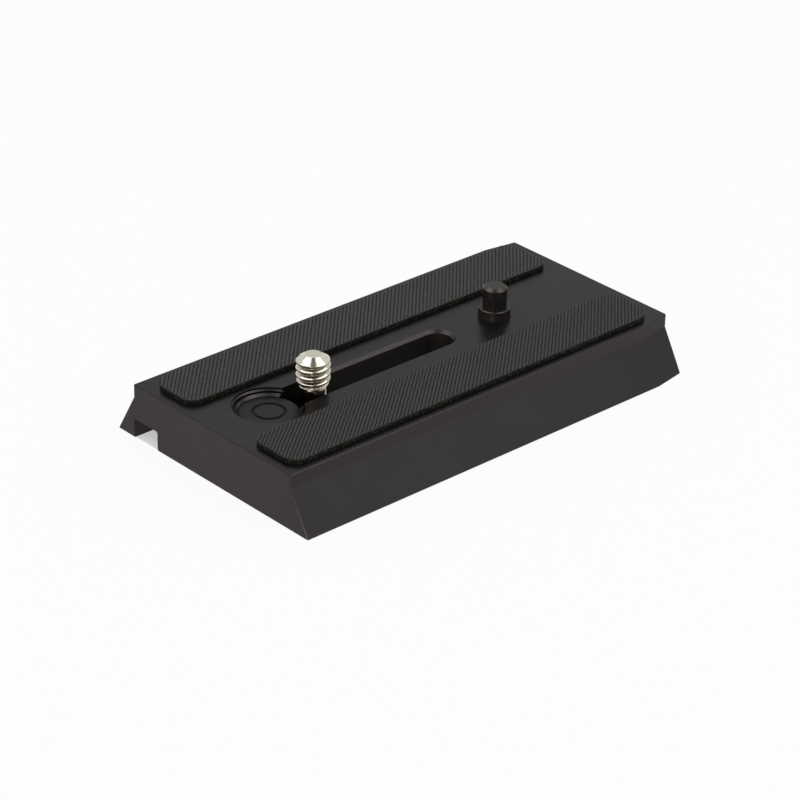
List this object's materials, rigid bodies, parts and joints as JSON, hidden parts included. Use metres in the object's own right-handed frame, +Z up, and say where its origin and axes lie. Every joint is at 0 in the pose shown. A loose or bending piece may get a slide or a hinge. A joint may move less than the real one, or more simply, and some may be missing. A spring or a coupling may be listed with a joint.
{
  "type": "tripod quick release plate",
  "caption": "Dovetail quick release plate for a tripod's video head, with a slotted camera screw, a sprung anti-twist pin and ribbed rubber pads.",
  "frame": {"origin": "under the middle of the plate, on the surface that it stands on", "axes": "+X along the plate from the square near end to the tapered far end, +Y from the front to the back, where the groove is, +Z up towards the camera"},
  "size_m": [0.09, 0.0502, 0.0169],
  "materials": {
    "anodised_black": "fine matt black anodising",
    "rubber_black": "matt",
    "nickel": "bright warm nickel plating",
    "plug_black": "turned, black anodised",
    "steel_black": "satin black",
    "bright_steel": "bright"
  },
  "bodies": {
    "plate": {"plate_body": "anodised_black", "front_pad": "rubber_black", "rear_pad": "rubber_black", "keyhole_plug": "plug_black", "pin_bush": "steel_black", "pin_retainer": "steel_black", "pin_spring": "bright_steel", "stop_pins": "bright_steel"},
    "screw": {"camera_screw": "nickel"},
    "pin": {"video_pin": "steel_black"}
  },
  "joints": [
    {"name": "screw_slide", "type": "slide", "parent": "plate", "child": "screw", "axis": [1, 0, 0], "range_m": [-0.00195, 0.02915]},
    {"name": "pin_press", "type": "slide", "parent": "plate", "child": "pin", "axis": [0, 0, 1], "range_m": [-0.0041, 0], "stiffness_N_per_m": 400, "springref_m": 0.005, "deforming": ["pin_spring"]}
  ]
}
